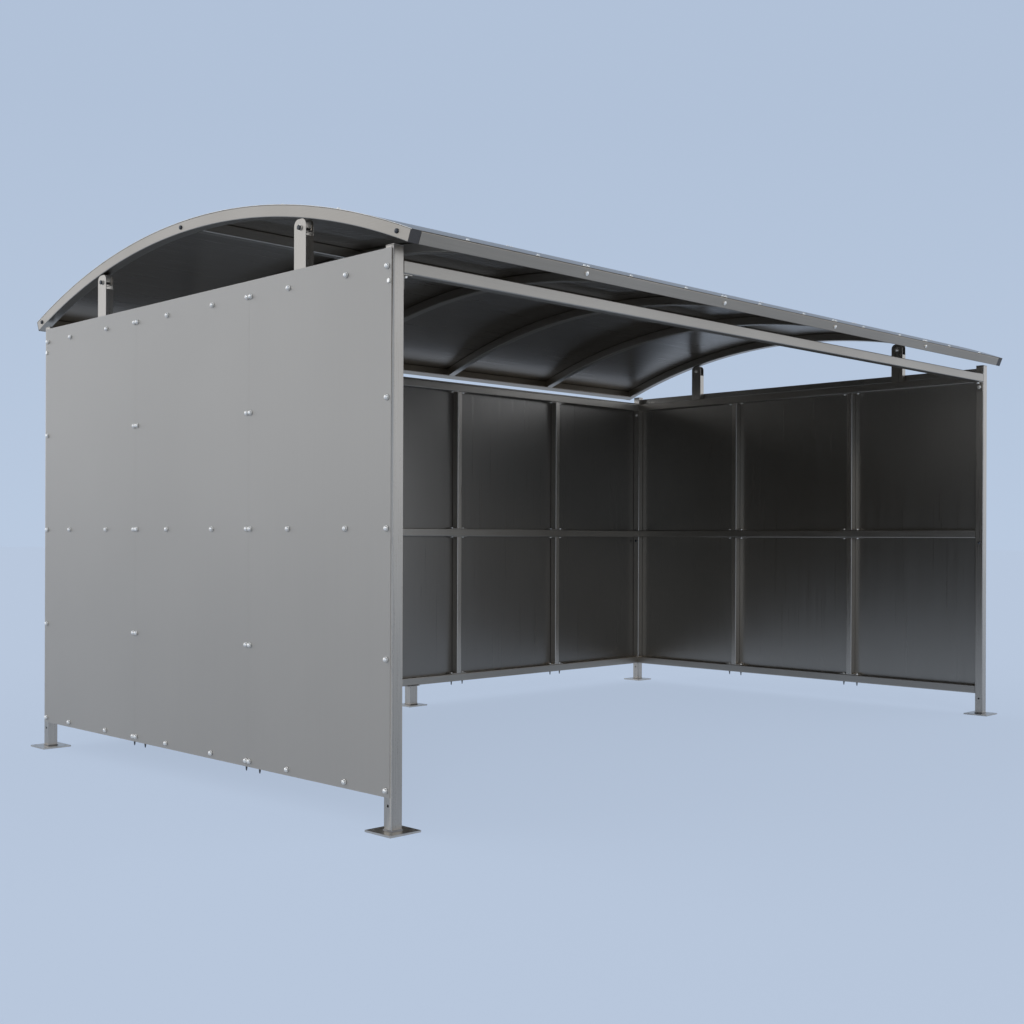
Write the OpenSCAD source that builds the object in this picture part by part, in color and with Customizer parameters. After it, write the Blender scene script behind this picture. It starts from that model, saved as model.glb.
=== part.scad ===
// Free-standing bin shelter: a welded square-tube frame with sheet steel on
// three walls, an open front and a barrel-vaulted roof that floats on four stubs.
// X runs along the open front, Y runs from the front to the back, Z is up.

/* [Overall size] */
// Width over the outer faces of the corner posts
shelter_w = 4850; // [3600:50:6000]
// Depth over the outer faces of the corner posts
shelter_d = 2850; // [2350:50:3600]
// Height of the corner posts with their caps
post_h = 2200; // [1800:20:2700]

/* [Square tube] */
// Side of the square tube of the whole frame
tube = 50; // [40:1:60]
// Wall thickness of that tube
tube_wall = 2; // [1.5:0.5:4]

/* [Posts and feet] */
// Thickness of the plain cap on each corner post
cap_t = 5; // [3:1:10]
// Side of the square base plate under each post
plate = 150; // [130:5:200]
// Thickness of the base plate
plate_t = 8; // [5:1:15]
// Spacing of the four anchor holes along either side of a base plate
anchor_spacing = 110; // [90:5:120]
// Diameter of an anchor hole
anchor_hole = 14; // [9:1:18]
// Side of the square tube of the short middle leg
leg_tube = 60; // [50:1:80]
// How far the middle leg stands to the right of the back wall's middle
leg_shift = 75; // [0:5:200]
// Length along the wall of the plate on top of the middle leg
leg_head = 104; // [80:2:140]
// Diameter of the cross holes through the corner posts
cross_hole = 11; // [7:1:14]
// Distance of each cross hole below the middle of the rail above it
cross_drop = 56; // [45:1:80]

/* [Walls] */
// Height of the bottom rails' underside above the ground
rail_clear = 132; // [110:1:220]
// Distance from the post tops down to the top of the top rails
top_rail_drop = 56; // [30:1:150]
// Sheets along each side wall
side_bays = 3; // [2:1:4]
// Sheets along the back wall
back_bays = 5; // [3:1:6]
// Thickness of the wall sheets
sheet_t = 2; // [1:0.5:4]
// How far the side sheets stand up past the top rails
sheet_rise = 43; // [0:1:50]
// How far the back sheets stand up past the top rail
back_sheet_rise = 15; // [0:1:50]
// Gap between neighbouring sheets
sheet_joint = 2; // [1:0.5:6]
// How far the outermost sheets stop short of the corner
sheet_edge = 12; // [0:1:30]
// Size of an upright along its wall
upright_w = 40; // [30:1:60]
// Length along the wall of the foot plate on each end of an upright
ear_len = 136; // [100:2:180]
// Thickness of that foot plate
ear_t = 4; // [3:1:8]

/* [Front beam brackets] */
// Leg of the angle bracket under the beam
bracket_leg = 45; // [35:1:80]
// Leg of the angle bracket down the post
bracket_drop = 60; // [45:1:90]
// Width of the angle bracket
bracket_w = 40; // [20:1:40]
// Thickness of the angle bracket
bracket_t = 4; // [3:1:8]

/* [Roof] */
// Rise of the arched roof from its eaves to its ridge
roof_rise = 294; // [200:2:420]
// Overhang of the roof past the front and back posts
eave_overhang = 100; // [60:5:250]
// Clear height between a post top and the arch above it
post_gap = 21; // [10:1:80]
// Thickness of the roof sheets
roof_t = 2; // [1:0.5:4]
// Thickness of the plugs in the ends of the end arches
plug_t = 5; // [3:1:10]

/* [Stub posts] */
// Distance of a stub's middle from the front or back of the frame
stub_inset = 600; // [300:10:900]
// Size of a stub along the wall
stub_len = 80; // [50:2:120]
// Size of a stub across the wall
stub_w = 40; // [30:1:50]
// Wall thickness of a stub
stub_wall = 3; // [2:0.5:5]
// Corner radius of the two ears on top of a stub
ear_r = 28; // [5:1:40]
// Distance from an ear's top down to its bolt
ear_bolt_drop = 36; // [25:1:60]
// Depth of the fork between the two ears
fork_depth = 70; // [50:1:120]
// Length along the wall of the lug that hangs between the two ears
lug_len = 56; // [40:1:100]
// Diameter of the bolt through the ears
stub_bolt = 13; // [9:1:16]

/* [Hidden] */

// Colours of the satin steel, the sheets and the plastic plugs
steel_colour = [0.55, 0.54, 0.52];
sheet_colour = [0.62, 0.63, 0.64];
plastic_colour = [0.24, 0.24, 0.26];

cut = 1;             // how far a cutting shape runs past what it cuts
seat_gap = 0.3;      // play between curved or bolted faces that meet
weld_bite = 1;       // how far a welded piece enters its partner's wall
arc_facets = 720;    // facets of a whole circle of the roof's radius
hole_facets = 32;    // facets of a drilled hole
roof_bays = 5;       // roof sheets from one end arch to the other

half_w = shelter_w / 2;
half_d = shelter_d / 2;

// Undersides of the bottom, middle and top rails
rail_top_z = post_h - top_rail_drop - tube;
rail_z = [rail_clear, (rail_clear + rail_top_z) / 2, rail_top_z];

// The outer face of the arches is part of a circle in the Y-Z plane
eave_y = half_d + eave_overhang;
roof_r = (eave_y * eave_y + roof_rise * roof_rise) / (2 * roof_rise);
soffit_r = roof_r - tube;
arc_z = post_h + post_gap - sqrt(soffit_r * soffit_r - half_d * half_d);
eave_angle = asin(eave_y / roof_r);
bay = shelter_w / roof_bays;
leg_y = half_d - leg_tube / 2;

// Angle that a length along the roof's outer face spans
function arc_angle(len) = len / roof_r * 180 / PI;

// Height of the arches' underside over a given Y
function soffit_z(y) = arc_z + sqrt(soffit_r * soffit_r - y * y);

// Place of the line between two bays of a wall that is span long
function bay_line(span, bays, i) = -span / 2 + i * span / bays;

// The outer rounded corner of each ear, centred at ear_y, just clears the arch over it
stub_y = half_d - stub_inset;
stub_base = rail_top_z + tube;
ear_y = stub_y + stub_len / 2 - ear_r;
ear_top = arc_z + sqrt(pow(soffit_r - ear_r - seat_gap, 2) - ear_y * ear_y) + ear_r;
fork_w = stub_w - 2 * stub_wall;
lug_w = fork_w - 2 * seat_gap;
lug_drop = ear_bolt_drop + stub_bolt;

// Hollow square-cornered bar from its low corner, open along one axis
module hollow_bar(size, axis, wall) {
    bore = [for (i = [0:2]) i == axis ? size[i] + 2 * cut : size[i] - 2 * wall];
    difference() {
        cube(size);
        translate([for (i = [0:2]) i == axis ? -cut : wall]) cube(bore);
    }
}

// Bar of the frame's tube along X, Y or Z
module tube_x(x, y, z, len) {
    translate([x, y, z]) hollow_bar([len, tube, tube], 0, tube_wall);
}

module tube_y(x, y, z, len) {
    translate([x, y, z]) hollow_bar([tube, len, tube], 1, tube_wall);
}

module tube_z(x, y, z, len) {
    translate([x, y, z]) hollow_bar([tube, tube, len], 2, tube_wall);
}

// Ring sector between two radii and two places along X, centred on the ridge
module arc_sector(r_low, r_high, x_low, x_high, half_angle) {
    translate([0, 0, arc_z]) rotate([90, 0, 90]) rotate([0, 0, 90 - half_angle])
        rotate_extrude(angle = 2 * half_angle, $fn = arc_facets)
            translate([r_low, x_low]) square([r_high - r_low, x_high - x_low]);
}

// Curved tube of the roof, from one half angle to the other
module arc_tube(x_low, half_angle) {
    difference() {
        arc_sector(soffit_r, roof_r, x_low, x_low + tube, half_angle);
        arc_sector(
            soffit_r + tube_wall, roof_r - tube_wall,
            x_low + tube_wall, x_low + tube - tube_wall,
            half_angle + arc_angle(cut)
        );
    }
}

// Lies on the roof's circle: +Z is outward and -Y runs down to the front eave
module on_roof(angle) {
    translate([0, 0, arc_z]) rotate([angle, 0, 0]) children();
}

// Low corner of a post, where side and end are -1 or 1
function post_corner(side, end) = [
    side < 0 ? -half_w : half_w - tube,
    end < 0 ? -half_d : half_d - tube
];

module post(side, end) {
    corner = post_corner(side, end);
    color(steel_colour) difference() {
        tube_z(corner[0], corner[1], plate_t, post_h - cap_t - plate_t);
        for (z = rail_z)
            translate([corner[0] - cut, corner[1] + tube / 2, z + tube / 2 - cross_drop])
                rotate([0, 90, 0])
                    cylinder(h = tube + 2 * cut, d = cross_hole, $fn = hole_facets);
    }
}

// Short leg that carries the middle of the back wall, with a plate on its top
module middle_leg() {
    color(steel_colour) translate([leg_shift, leg_y, plate_t]) {
        translate([-leg_tube / 2, -leg_tube / 2, 0])
            hollow_bar([leg_tube, leg_tube, rail_clear - plate_t - ear_t], 2, tube_wall);
        translate([-leg_head / 2, -leg_tube / 2, rail_clear - plate_t - ear_t])
            cube([leg_head, leg_tube, ear_t]);
    }
}

// Drilled plate whose middle lies under the middle of a tube
module base_plate(x, y) {
    translate([x, y, 0]) difference() {
        translate([-plate / 2, -plate / 2, 0]) cube([plate, plate, plate_t]);
        for (sx = [-1, 1], sy = [-1, 1])
            translate([sx * anchor_spacing / 2, sy * anchor_spacing / 2, -cut])
                cylinder(h = plate_t + 2 * cut, d = anchor_hole, $fn = hole_facets);
    }
}

module base_plates() {
    color(steel_colour) {
        for (side = [-1, 1], end = [-1, 1])
            base_plate(side * (half_w - tube / 2), end * (half_d - tube / 2));
        base_plate(leg_shift, leg_y);
    }
}

module post_caps() {
    color(steel_colour)
        for (side = [-1, 1], end = [-1, 1])
            translate(concat(post_corner(side, end), post_h - cap_t))
                cube([tube, tube, cap_t]);
}

module front_beam() {
    color(steel_colour)
        tube_x(-half_w + tube, -half_d, rail_top_z, shelter_w - 2 * tube);
}

// Angle under one end of the front beam, bolted to the beam and to the post
module beam_bracket() {
    hole_z = tube / 2 - cross_drop;
    difference() {
        translate([0, -bracket_w / 2, -bracket_drop])
            cube([bracket_leg, bracket_w, bracket_drop]);
        translate([bracket_t, -bracket_w / 2 - cut, -bracket_drop - cut])
            cube([bracket_leg, bracket_w + 2 * cut, bracket_drop + cut - bracket_t]);
        translate([-cut, 0, hole_z]) rotate([0, 90, 0])
            cylinder(h = bracket_t + 2 * cut, d = cross_hole, $fn = hole_facets);
        translate([(bracket_leg + bracket_t) / 2, 0, -bracket_t - cut])
            cylinder(h = bracket_t + 2 * cut, d = cross_hole, $fn = hole_facets);
    }
}

module beam_brackets() {
    color(steel_colour)
        for (side = [0, 1]) mirror([side, 0, 0])
            translate([-half_w + tube, -half_d + tube / 2, rail_top_z]) beam_bracket();
}

module side_rail(side, level) {
    color(steel_colour)
        tube_y(post_corner(side, 1)[0], -half_d + tube, rail_z[level], shelter_d - 2 * tube);
}

module back_rail(level) {
    color(steel_colour)
        tube_x(-half_w + tube, half_d - tube, rail_z[level], shelter_w - 2 * tube);
}

// One length of upright between two rails, with a foot plate on each end.
// Its middle is at the origin; along is the direction of its wall, 0 for X and 1 for Y.
module upright(level, along) {
    low = rail_z[level] + tube;
    high = rail_z[level + 1];
    foot = along == 0 ? [ear_len, tube, ear_t] : [tube, ear_len, ear_t];
    bar = along == 0 ? [upright_w, tube] : [tube, upright_w];
    translate([-bar[0] / 2, -bar[1] / 2, low + ear_t])
        hollow_bar(concat(bar, high - low - 2 * ear_t), 2, tube_wall);
    for (z = [low, high - ear_t])
        translate([-foot[0] / 2, -foot[1] / 2, z]) cube(foot);
}

module side_uprights(side) {
    color(steel_colour)
        for (i = [1:side_bays - 1], level = [0, 1])
            translate([side * (half_w - tube / 2), bay_line(shelter_d, side_bays, i), 0])
                upright(level, 1);
}

module back_uprights(level) {
    color(steel_colour)
        for (i = [1:back_bays - 1])
            translate([bay_line(shelter_w, back_bays, i), half_d - tube / 2, 0])
                upright(level, 0);
}

// Low and high end of sheet i of a wall that is span long
function sheet_low(span, bays, i) =
    bay_line(span, bays, i) + (i == 0 ? sheet_edge : sheet_joint / 2);
function sheet_high(span, bays, i) =
    bay_line(span, bays, i + 1) - (i == bays - 1 ? sheet_edge : sheet_joint / 2);

// Height of a sheet that stands up past the top rail by a rise
function sheet_h(rise) = rail_top_z + tube + rise - rail_clear;

module side_sheets(side) {
    color(sheet_colour)
        for (i = [0:side_bays - 1]) {
            low = sheet_low(shelter_d, side_bays, i);
            high = sheet_high(shelter_d, side_bays, i);
            translate([side < 0 ? -half_w - sheet_t : half_w, low, rail_clear])
                cube([sheet_t, high - low, sheet_h(sheet_rise)]);
        }
}

module back_sheets() {
    color(sheet_colour)
        for (i = [0:back_bays - 1]) {
            low = sheet_low(shelter_w, back_bays, i);
            high = sheet_high(shelter_w, back_bays, i);
            translate([low, half_d, rail_clear])
                cube([high - low, sheet_t, sheet_h(back_sheet_rise)]);
        }
}

// Outline of a stub in the wall's plane: a bar with two rounded corners on top
module stub_outline(height) {
    translate([-stub_len / 2, 0]) square([stub_len, height - ear_r]);
    translate([-stub_len / 2 + ear_r, 0]) square([stub_len - 2 * ear_r, height]);
    for (side = [-1, 1])
        translate([side * (stub_len / 2 - ear_r), height - ear_r])
            circle(r = ear_r, $fn = hole_facets * 2);
}

// Stub of flat tube that stands on the top rail and ends in a fork of two ears
module stub(side, end) {
    height = ear_top - stub_base;
    color(steel_colour)
        translate([side * (half_w - tube / 2), end * stub_y, stub_base]) difference() {
            translate([-stub_w / 2, 0, 0]) rotate([90, 0, 90])
                linear_extrude(stub_w) stub_outline(height);
            translate([-fork_w / 2, -stub_len / 2 + stub_wall, -cut])
                cube([fork_w, stub_len - 2 * stub_wall, height + 2 * cut]);
            translate([-fork_w / 2, -stub_len / 2 - cut, height - fork_depth])
                cube([fork_w, stub_len + 2 * cut, fork_depth + cut]);
            translate([-stub_w / 2 - cut, 0, height - ear_bolt_drop]) rotate([0, 90, 0])
                cylinder(h = stub_w + 2 * cut, d = stub_bolt, $fn = hole_facets);
        }
}

// Channel welded under an end arch, which hangs between the two ears of a stub
module lug(end) {
    bolt_z = ear_top - ear_bolt_drop;
    low = ear_top - lug_drop;
    high = soffit_z(stub_y - lug_len / 2) + 2 * weld_bite;
    web_z = soffit_z(stub_y + lug_len / 2) - stub_wall;
    difference() {
        intersection() {
            translate([-lug_w / 2, end * stub_y - lug_len / 2, low])
                cube([lug_w, lug_len, high - low]);
            translate([-stub_w / 2, 0, arc_z]) rotate([0, 90, 0])
                cylinder(h = stub_w, r = soffit_r + weld_bite, $fn = arc_facets);
        }
        translate([-lug_w / 2 + stub_wall, end * stub_y - lug_len / 2 - cut, low - cut])
            cube([lug_w - 2 * stub_wall, lug_len + 2 * cut, web_z - low + cut]);
        translate([-stub_w / 2, end * stub_y, bolt_z]) rotate([0, 90, 0])
            cylinder(h = stub_w, d = stub_bolt, $fn = hole_facets);
    }
}

module end_arch(side) {
    color(steel_colour) {
        arc_tube(post_corner(side, 1)[0], eave_angle - arc_angle(plug_t + seat_gap));
        for (end = [-1, 1]) translate([side * (half_w - tube / 2), 0, 0]) lug(end);
    }
}

// Plain plugs that close the four open ends of the end arches
module arch_end_plugs() {
    color(plastic_colour)
        for (side = [-1, 1], end = [0, 1]) mirror([0, end, 0]) on_roof(eave_angle)
            translate([post_corner(side, 1)[0], 0, soffit_r]) cube([tube, plug_t, tube]);
}

module rib(i) {
    color(steel_colour)
        arc_tube(-half_w + i * bay - tube / 2, eave_angle - arc_angle(tube + 2 * seat_gap));
}

// Straight lengths along the ridge between neighbouring arches
module ridge_purlin() {
    color(steel_colour)
        for (i = [0:roof_bays - 1]) {
            low = -half_w + i * bay + (i == 0 ? tube : tube / 2);
            high = -half_w + (i + 1) * bay - (i == roof_bays - 1 ? tube : tube / 2);
            tube_x(low, -tube / 2, arc_z + soffit_r - seat_gap, high - low);
        }
}

// Rail along an eave between the two end arches, square to the roof's slope
module eave_rail(end) {
    color(steel_colour)
        mirror([0, end < 0 ? 0 : 1, 0]) on_roof(eave_angle - arc_angle(tube / 2))
            tube_x(-half_w + tube, -tube / 2, soffit_r, shelter_w - 2 * tube);
}

module roof_sheet(i) {
    low = -half_w + (i - 1) * bay + (i == 1 ? 0 : sheet_joint / 2);
    high = -half_w + i * bay - (i == roof_bays ? 0 : sheet_joint / 2);
    color(sheet_colour)
        arc_sector(roof_r + seat_gap, roof_r + seat_gap + roof_t, low, high, eave_angle);
}

post(-1, -1);  // post_front_left
post(1, -1);  // post_front_right
post(-1, 1);  // post_back_left
post(1, 1);  // post_back_right
middle_leg();
base_plates();
post_caps();
front_beam();
beam_brackets();
side_rail(-1, 0);  // left_rail_bottom
side_rail(-1, 1);  // left_rail_middle
side_rail(-1, 2);  // left_rail_top
side_rail(1, 0);  // right_rail_bottom
side_rail(1, 1);  // right_rail_middle
side_rail(1, 2);  // right_rail_top
back_rail(0);  // back_rail_bottom
back_rail(1);  // back_rail_middle
back_rail(2);  // back_rail_top
side_uprights(-1);  // left_uprights
side_uprights(1);  // right_uprights
back_uprights(0);  // back_uprights_lower
back_uprights(1);  // back_uprights_upper
side_sheets(-1);  // left_sheets
side_sheets(1);  // right_sheets
back_sheets();
stub(-1, -1);  // stub_front_left
stub(1, -1);  // stub_front_right
stub(-1, 1);  // stub_back_left
stub(1, 1);  // stub_back_right
end_arch(-1);  // end_arch_left
end_arch(1);  // end_arch_right
rib(1);  // rib_1
rib(2);  // rib_2
rib(3);  // rib_3
rib(4);  // rib_4
ridge_purlin();
eave_rail(-1);  // front_eave_rail
eave_rail(1);  // back_eave_rail
arch_end_plugs();
roof_sheet(1);  // roof_sheet_1
roof_sheet(2);  // roof_sheet_2
roof_sheet(3);  // roof_sheet_3
roof_sheet(4);  // roof_sheet_4
roof_sheet(5);  // roof_sheet_5
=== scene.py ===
# %% [markdown]
# # A bin shelter of welded square tube and sheet steel
# The shelter is a frame of square steel tube with flat sheets bolted on three sides
# and a curved roof that floats on four short stubs. A frame like this could be made
# with primitive cubes and modifiers, but each part here is a surface worked out with
# numpy: a shape that is known by its formula is easy to move, bend and check.

# %% Load the frame that every piece is fitted to
import math

import bmesh
import bpy
import numpy as np
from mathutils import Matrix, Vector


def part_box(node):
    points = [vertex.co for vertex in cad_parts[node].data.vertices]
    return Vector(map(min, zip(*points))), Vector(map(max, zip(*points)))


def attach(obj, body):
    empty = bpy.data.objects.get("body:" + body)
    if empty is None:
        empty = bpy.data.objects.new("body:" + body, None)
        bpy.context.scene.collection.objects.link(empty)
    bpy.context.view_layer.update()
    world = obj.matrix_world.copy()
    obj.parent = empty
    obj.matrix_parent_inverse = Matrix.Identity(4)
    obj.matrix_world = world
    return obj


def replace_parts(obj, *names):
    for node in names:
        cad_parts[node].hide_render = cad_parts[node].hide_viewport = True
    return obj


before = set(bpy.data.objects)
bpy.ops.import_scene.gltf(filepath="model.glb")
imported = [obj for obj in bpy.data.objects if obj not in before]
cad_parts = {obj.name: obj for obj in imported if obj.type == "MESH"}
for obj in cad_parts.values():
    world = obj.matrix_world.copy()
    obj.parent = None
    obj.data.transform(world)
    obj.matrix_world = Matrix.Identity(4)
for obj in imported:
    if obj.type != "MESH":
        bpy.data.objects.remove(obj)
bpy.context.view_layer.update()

# %% [markdown]
# ## Places come from the frame
# A fitter measures from the steel that already stands. The corner posts give the
# outer faces of the walls, the rails give their heights, and one arch gives the
# circle of the roof, so nothing below has to repeat a number that the frame knows.

# %% Measure posts, rails and the roof's circle
def corners(node):
    """Lowest and highest corner of a CAD node as two arrays."""
    low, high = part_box(node)
    return np.array(low), np.array(high)


def node_points(node):
    """All vertices of a CAD node as one array, a row to a point."""
    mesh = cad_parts[node].data
    points = np.empty(len(mesh.vertices) * 3)
    mesh.vertices.foreach_get("co", points)
    return points.reshape(-1, 3)


front_left = corners("post_front_left")
back_right = corners("post_back_right")
left_x, front_y = front_left[0][0], front_left[0][1]
right_x, back_y = back_right[1][0], back_right[1][1]
tube_side = front_left[1][0] - front_left[0][0]
half_tube = tube_side / 2
tube_wall, sheet_thick, bend_radius = 0.002, 0.002, 0.0042
rail_low = [corners(f"left_rail_{level}")[0][2] for level in ("bottom", "middle", "top")]
rail_mid = [z + tube_side / 2 for z in rail_low]

rib_points = node_points("rib_2")
crown_z = rib_points[:, 2].max()
far = rib_points[np.argmax(np.abs(rib_points[:, 1]))]
# A circle through the crown (0, crown_z) and a point (y, z) of the same outer face
# has the radius (y^2 + drop^2) / (2 drop), where drop is how far z is below the crown.
far_drop = crown_z - far[2]
roof_radius = (far[1] ** 2 + far_drop ** 2) / (2 * far_drop)
roof_centre_z = crown_z - roof_radius
sheet_top = corners("roof_sheet_1")[1][2]
sheet_reach = corners("roof_sheet_1")[1][1]
sheet_skin = sheet_top - roof_centre_z
print("posts", left_x, right_x, front_y, back_y, "roof radius", round(roof_radius, 4))

# %% [markdown]
# ## Turning arrays of points into steel
# A surface is a grid: one parameter runs along a row, the other from row to row. A
# maker would roll, bend or saw the plate; here neighbouring points are joined by
# four-sided faces. Rows that shrink to a point or a line close the shape, and points
# that coincide are merged afterwards, so every shell is watertight.

# %% Grids to meshes
def grid_faces(rows, columns, wrap_rows, wrap_columns):
    """Quads between neighbours of a grid, as an array of four indices each. Point
    (i, j) has the index i times columns plus j, and the last joins the first where
    that direction wraps."""
    index = np.arange(rows * columns).reshape(rows, columns)
    if wrap_rows:
        index = np.vstack([index, index[:1]])
    if wrap_columns:
        index = np.hstack([index, index[:, :1]])
    corner = [index[:-1, :-1], index[:-1, 1:], index[1:, 1:], index[1:, :-1]]
    return np.stack(corner, axis=-1).reshape(-1, 4)


def steel_piece(name, patches, finish, sharp=32.0):
    """One object from a list of patches (points, wrap rows, wrap columns). The points
    of a patch may carry a leading axis of copies, which all share its faces."""
    points, faces, start = [], [], 0
    for grid, wrap_rows, wrap_columns in patches:
        copies = grid.reshape((-1,) + grid.shape[-3:])
        quads = grid_faces(grid.shape[-3], grid.shape[-2], wrap_rows, wrap_columns)
        step = grid.shape[-3] * grid.shape[-2]
        shift = start + np.arange(len(copies))[:, None, None] * step
        points.append(copies.reshape(-1, 3))
        faces.append((quads[None] + shift).reshape(-1, 4))
        start += len(copies) * step
    mesh = bpy.data.meshes.new(name)
    mesh.from_pydata(np.vstack(points).tolist(), [], np.vstack(faces).tolist())
    shell = bmesh.new()
    shell.from_mesh(mesh)
    bmesh.ops.remove_doubles(shell, verts=shell.verts, dist=2e-6)
    bmesh.ops.recalc_face_normals(shell, faces=shell.faces)
    shell.to_mesh(mesh)
    shell.free()
    return dress(bpy.data.objects.new(name, mesh), finish, sharp)


def dress(piece, finish, sharp=32.0):
    """Links a piece, smooths it up to the sharp angle and gives it its finish."""
    bpy.context.scene.collection.objects.link(piece)
    piece.data.shade_smooth()
    piece.data.set_sharp_from_angle(angle=math.radians(sharp))
    piece.data.materials.clear()
    piece.data.materials.append(finish)
    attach(piece, "root")
    return piece


# %% [markdown]
# ## The section of a square tube
# Rolled tube has rounded corners, and those corners are what catches the light: a
# bright line down every post. A bevel modifier could round a box, but a section
# that is round from the start also bends round the roof. Each corner is a quarter
# circle with one more point a little way along either flat, which keeps flats flat.

# %% Rounded section and the path it is carried along
def rounded_section(width, height, radius, steps=4):
    """Closed outline of a bar, a row (a, b) to a point: corner k is its centre plus
    radius times (cos t, sin t), with t over quarter k, and a point at each end of the
    quarter is moved along the flat by half the radius."""
    quarter = np.arange(4)[:, None] * np.pi / 2 + np.linspace(0, np.pi / 2, steps + 1)
    sign = np.array([[1, 1], [-1, 1], [-1, -1], [1, -1]])
    centre = sign * np.array([width / 2 - radius, height / 2 - radius])
    arc = centre[:, None] + radius * np.stack([np.cos(quarter), np.sin(quarter)], -1)
    slide = min(radius, width / 2 - radius, height / 2 - radius) / 2
    turn = np.stack([np.cos(quarter + np.pi / 2), np.sin(quarter + np.pi / 2)], -1)
    before = arc[:, :1] - slide * turn[:, :1]
    after = arc[:, -1:] + slide * turn[:, -1:]
    return np.concatenate([before, arc, after], axis=1).reshape(-1, 2)


def carried(section, path, up):
    """Grid of a section carried along a path: point = path + a * side + b * up, where
    side is the path's direction crossed with up."""
    path, up = np.asarray(path, float), np.broadcast_to(up, np.shape(path)).astype(float)
    ahead = np.gradient(path, axis=0)
    ahead /= np.linalg.norm(ahead, axis=1, keepdims=True)
    side = np.cross(ahead, up)
    sideways = section[None, :, :1] * side[:, None]
    return path[:, None] + sideways + section[None, :, 1:] * up[:, None]


def hollow(path, up, width=None, height=None, wall=None, radius=bend_radius):
    """Patch of a tube with an open bore: the outer section runs out along the path and
    the inner one comes back, and both ends are joined by the wall's rim."""
    width, height, wall = width or tube_side, height or tube_side, wall or tube_wall
    outer = carried(rounded_section(width, height, radius), path, up)
    bore = rounded_section(width - 2 * wall, height - 2 * wall, max(radius - wall, 0.0015))
    inner = carried(bore, path, up)
    return np.concatenate([outer, inner[::-1]]), True, True


def straight(start, end, up=(0, 0, 1), **size):
    """A tube between two points."""
    return hollow(np.array([start, end], float), up, **size)


test_patch = straight((0, 0, 0), (1, 0, 0))[0]
print("points of one tube:", test_patch.shape[0] * test_patch.shape[1])

# %% [markdown]
# ## Plates and discs
# Foot plates, cheeks and plugs are sawn from flat bar and their edges are broken with
# a file. The plate is a rounded outline that starts at its middle, runs out to the
# edge, over the small chamfer, down the side and back in to the middle below.

# %% Plate with broken edges, and turned shapes
def plate_patch(low, high, thin_axis, corner=0.003, edge=0.0006):
    """Closed plate between two corners. Ring k of the grid is the outline shrunk by
    inset k and lifted to level k through the thickness."""
    low, high = np.array(low, float), np.array(high, float)
    flat = [axis for axis in range(3) if axis != thin_axis]
    size, middle = high - low, (high + low) / 2
    outline = rounded_section(size[flat[0]], size[flat[1]], corner, 3)
    shrink = np.array([0, 1, 1, 1, 1, 0.0])
    inset = np.array([0, edge, 0, 0, edge, 0])
    reach = 1 - inset[:, None] / (np.abs(outline).max(0) + 1e-9)
    level = np.array([0, 0, edge, size[thin_axis] - edge, size[thin_axis], size[thin_axis]])
    grid = np.empty((6, len(outline), 3))
    ring = outline[None] * (shrink[:, None] * reach)[:, None, :]
    grid[..., flat[0]] = middle[flat[0]] + ring[..., 0]
    grid[..., flat[1]] = middle[flat[1]] + ring[..., 1]
    grid[..., thin_axis] = low[thin_axis] + level[:, None]
    return grid, False, True


def turned(outline, places, axis, steps=12, sides=0):
    """Copies of a lathe shape. A ring of the outline (r, h) is place + h * axis + r *
    (cos t * u + sin t * v), u and v being square to the axis. With sides, r is divided
    by cos of the angle from the middle of the nearest flat, which makes it a hexagon."""
    outline, places = np.asarray(outline, float), np.atleast_2d(np.asarray(places, float))
    axis = np.broadcast_to(np.asarray(axis, float), places.shape)
    helper = np.where(np.abs(axis[:, 2:]) > 0.9, [[1.0, 0, 0]], [[0, 0, 1.0]])
    first = np.cross(helper, axis)
    first /= np.linalg.norm(first, axis=1, keepdims=True)
    second = np.cross(axis, first)
    angle = np.arange(steps) * 2 * np.pi / steps
    flat = np.ones(steps)
    if sides:
        part = 2 * np.pi / sides
        flat = 1 / np.cos((angle + part / 2) % part - part / 2)
    r, h = outline[:, 0][None, :, None, None], outline[:, 1][None, :, None, None]
    spoke = (np.cos(angle) * flat)[None, None, :, None] * first[:, None, None]
    spoke = spoke + (np.sin(angle) * flat)[None, None, :, None] * second[:, None, None]
    return places[:, None, None] + h * axis[:, None, None] + r * spoke, False, True


# %% [markdown]
# ## Satin steel
# A rolled sheet has fine streaks along the way it was rolled and soft clouds where the
# coat is thicker. Both are noise on Object coordinates: noise squeezed in one
# direction makes streaks, and the same noise moves colour, gloss and relief.

# %% Nodes that every finish shares
def finish_tree(name):
    """A new material and the node tree with its one shader."""
    material = bpy.data.materials.new(name)
    material.use_nodes = True
    tree = material.node_tree
    return material, tree, tree.nodes["Principled BSDF"]


def add_noise(tree, scale, detail=3.0, stretch=(1, 1, 1), rough=0.5):
    """Noise on Object coordinates, stretched by the Mapping's scale."""
    place = tree.nodes.new("ShaderNodeTexCoord")
    mapping = tree.nodes.new("ShaderNodeMapping")
    mapping.inputs["Scale"].default_value = stretch
    noise = tree.nodes.new("ShaderNodeTexNoise")
    noise.inputs["Scale"].default_value = scale
    noise.inputs["Detail"].default_value = detail
    noise.inputs["Roughness"].default_value = rough
    tree.links.new(place.outputs["Object"], mapping.inputs["Vector"])
    tree.links.new(mapping.outputs["Vector"], noise.inputs["Vector"])
    return noise.outputs["Fac"]


def add_range(tree, value, low, high, start=0.3, end=0.7):
    """The value, spread from start..end to low..high."""
    spread = tree.nodes.new("ShaderNodeMapRange")
    spread.inputs["From Min"].default_value = start
    spread.inputs["From Max"].default_value = end
    spread.inputs["To Min"].default_value = low
    spread.inputs["To Max"].default_value = high
    tree.links.new(value, spread.inputs["Value"])
    return spread.outputs["Result"]


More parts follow.
